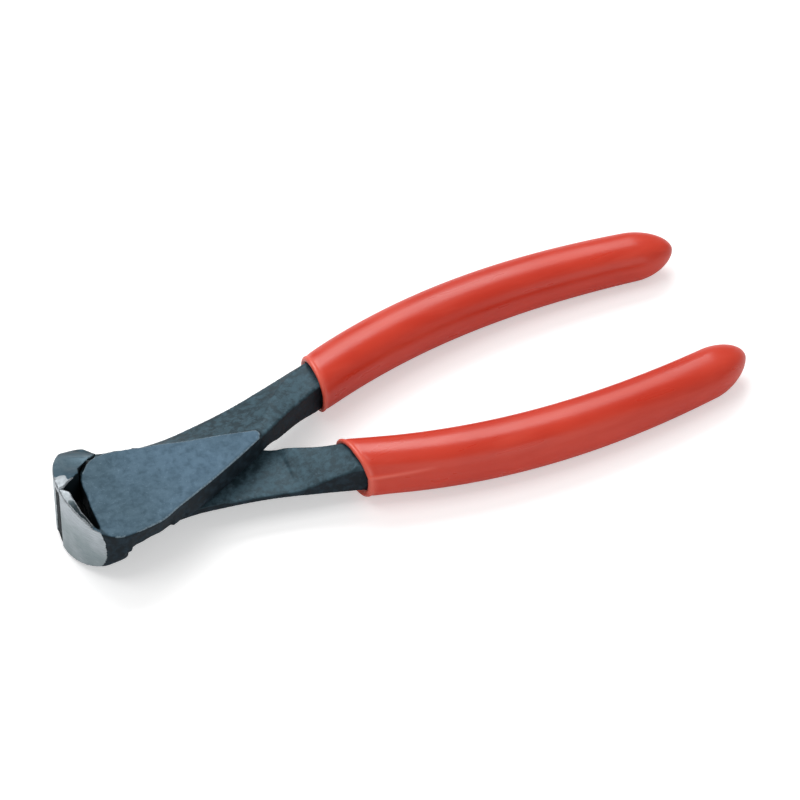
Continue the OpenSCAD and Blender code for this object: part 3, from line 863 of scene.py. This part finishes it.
def floor_plane():
    """The line in x and z that the object rests on: under the jaws and under the grips."""
    pts = []
    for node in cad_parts.values():
        m = node.matrix_world
        pts += [m @ v.co for v in node.data.vertices]
    hull = []
    for p in sorted((p.x, p.z) for p in pts):
        while len(hull) > 1:
            (ax, az), (bx, bz) = hull[-2:]
            if (bx - ax) * (p[1] - az) > (bz - az) * (p[0] - ax):
                break
            hull.pop()
        hull.append(p)
    for a, b in zip(hull, hull[1:]):
        if a[0] <= FLOOR_MIDDLE <= b[0]:
            return a, b
    return hull[0], hull[-1]


def floor_material():
    """White that keeps the shadow, and glows to the camera only."""
    n = Nodes("floor_white")
    diffuse = n.add("ShaderNodeBsdfDiffuse")
    diffuse.inputs["Color"].default_value = (FLOOR_WHITE, FLOOR_WHITE, FLOOR_WHITE, 1)
    glow = n.add("ShaderNodeEmission")
    path = n.add("ShaderNodeLightPath")
    n.link(n.math("MULTIPLY", path.outputs["Is Camera Ray"], FLOOR_GLOW), glow.inputs["Strength"])
    both = n.add("ShaderNodeAddShader")
    n.link(diffuse.outputs[0], both.inputs[0])
    n.link(glow.outputs[0], both.inputs[1])
    return n.finish(both)


def make_floor():
    a, b = floor_plane()
    mesh = bpy.data.meshes.new("floor")
    s = FLOOR_SIZE
    mesh.from_pydata([(-s, -s, 0), (s, -s, 0), (s, s, 0), (-s, s, 0)], [], [(0, 1, 2, 3)])
    mesh.materials.append(floor_material())
    floor = new_object("floor", mesh)
    floor.rotation_euler = (0, -math.atan2(b[1] - a[1], b[0] - a[0]), 0)
    floor.location = (a[0], 0, a[1] - FLOOR_DROP)


def make_world():
    world = bpy.data.worlds.new("studio")
    bpy.context.scene.world = world
    world.use_nodes = True
    tree = world.node_tree
    background = tree.nodes["Background"]
    background.inputs["Color"].default_value = (1, 1, 1, 1)
    path = tree.nodes.new("ShaderNodeLightPath")
    level = tree.nodes.new("ShaderNodeMapRange")
    level.inputs["To Min"].default_value = WORLD_LIGHT
    level.inputs["To Max"].default_value = WORLD_SEEN
    tree.links.new(path.outputs["Is Camera Ray"], level.inputs["Value"])
    tree.links.new(level.outputs["Result"], background.inputs["Strength"])


def make_lights():
    for name, place, width, height, power in LIGHTS:
        light = bpy.data.lights.new(name, "AREA")
        light.shape = "RECTANGLE"
        light.size, light.size_y = width, height
        light.energy = power
        obj = new_object(name, light)
        obj.location = place
        obj.rotation_euler = (Vector(LIGHT_AIM) - Vector(place)).to_track_quat("-Z", "Y").to_euler()


def make_camera():
    """The photograph's view: its direction and distance were solved from the object."""
    up = Vector(VIEW_UP)
    back = Vector(VIEW_RIGHT).cross(up).normalized()
    right = up.cross(back).normalized()
    cam = bpy.data.cameras.new("camera")
    cam.sensor_width = SENSOR
    cam.lens = LENS
    cam.clip_start = CLIP
    obj = new_object("camera", cam)
    basis = Matrix((right, up, back)).transposed()
    obj.matrix_world = Matrix.Translation(Vector(VIEW_AIM) + back * VIEW_DISTANCE) @ basis.to_4x4()
    bpy.context.scene.camera = obj


def main():
    bpy.context.scene.view_settings.view_transform = "Standard"
    make_camera()
    steel = steel_material()
    vinyl = grip_material()
    lever("front_lever", "front_forging", "front", steel, False, PRESSED, 0.0)
    lever("rear_lever", "rear_forging", "rear", steel, True, RUNNING, HEAD_SPREAD)
    grip("front_grip", "front_sleeve", "front", vinyl, FRONT_SLEEVE)
    grip("rear_grip", "rear_sleeve", "rear", vinyl, REAR_SLEEVE)
    rivet_steel = rivet_material()
    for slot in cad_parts["pivot_rivet"].material_slots:
        slot.material = rivet_steel
    make_floor()
    make_world()
    make_lights()


main()
